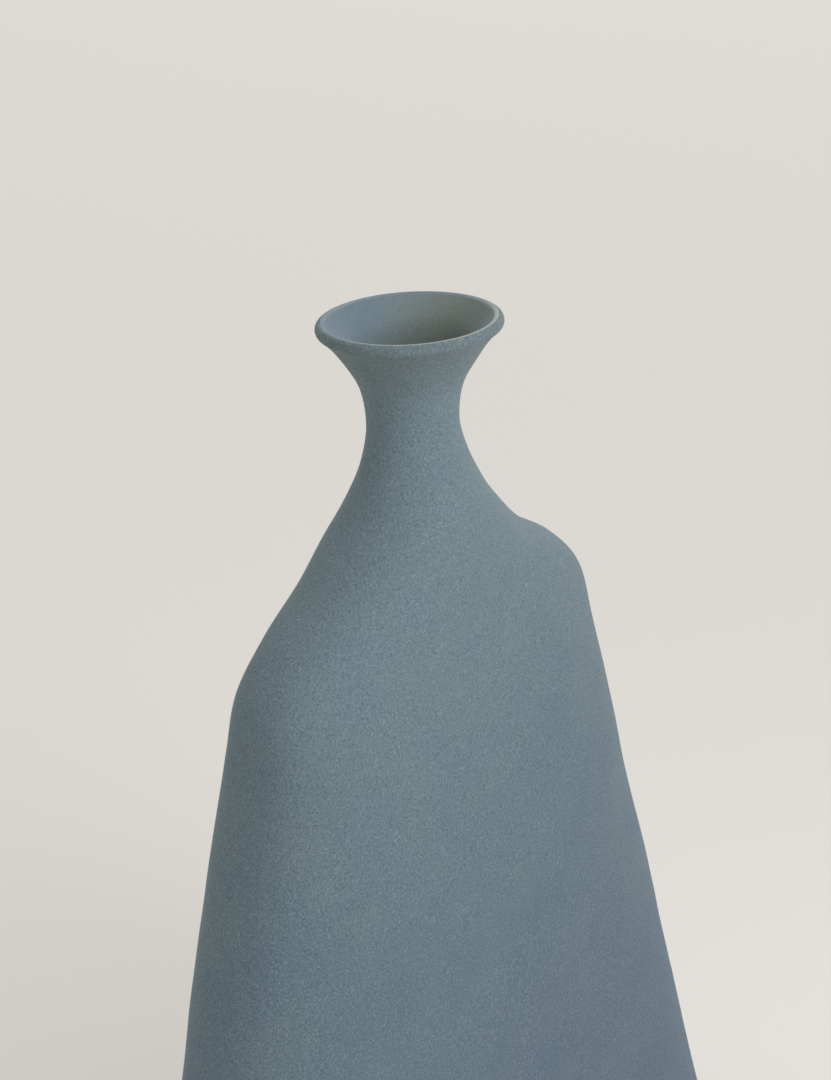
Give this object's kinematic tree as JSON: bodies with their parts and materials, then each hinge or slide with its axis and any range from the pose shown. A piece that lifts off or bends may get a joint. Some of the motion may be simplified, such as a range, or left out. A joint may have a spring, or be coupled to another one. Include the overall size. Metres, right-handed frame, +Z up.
{
  "type": "bud vase",
  "caption": "Flat flask-shaped ceramic bud vase with a narrow round neck and a flared mouth, for a single stem or a small sprig.",
  "frame": {"origin": "on the surface it stands on, under the middle of the base", "axes": "+Z up through the neck, X along the broad faces, the front face towards -Y"},
  "size_m": [0.181, 0.039, 0.2115],
  "materials": {
    "slate_engobe": "matt, sandy slate-blue engobe",
    "bare_stoneware": "matt unglazed buff stoneware"
  },
  "bodies": {
    "root": {"front_shell": "slate_engobe", "back_shell": "slate_engobe", "neck_collar": "slate_engobe", "base_slab": "bare_stoneware", "left_seam_coil": "bare_stoneware", "right_seam_coil": "bare_stoneware", "base_seam_coil": "bare_stoneware", "neck_seam_coil": "bare_stoneware"}
  },
  "joints": []
}
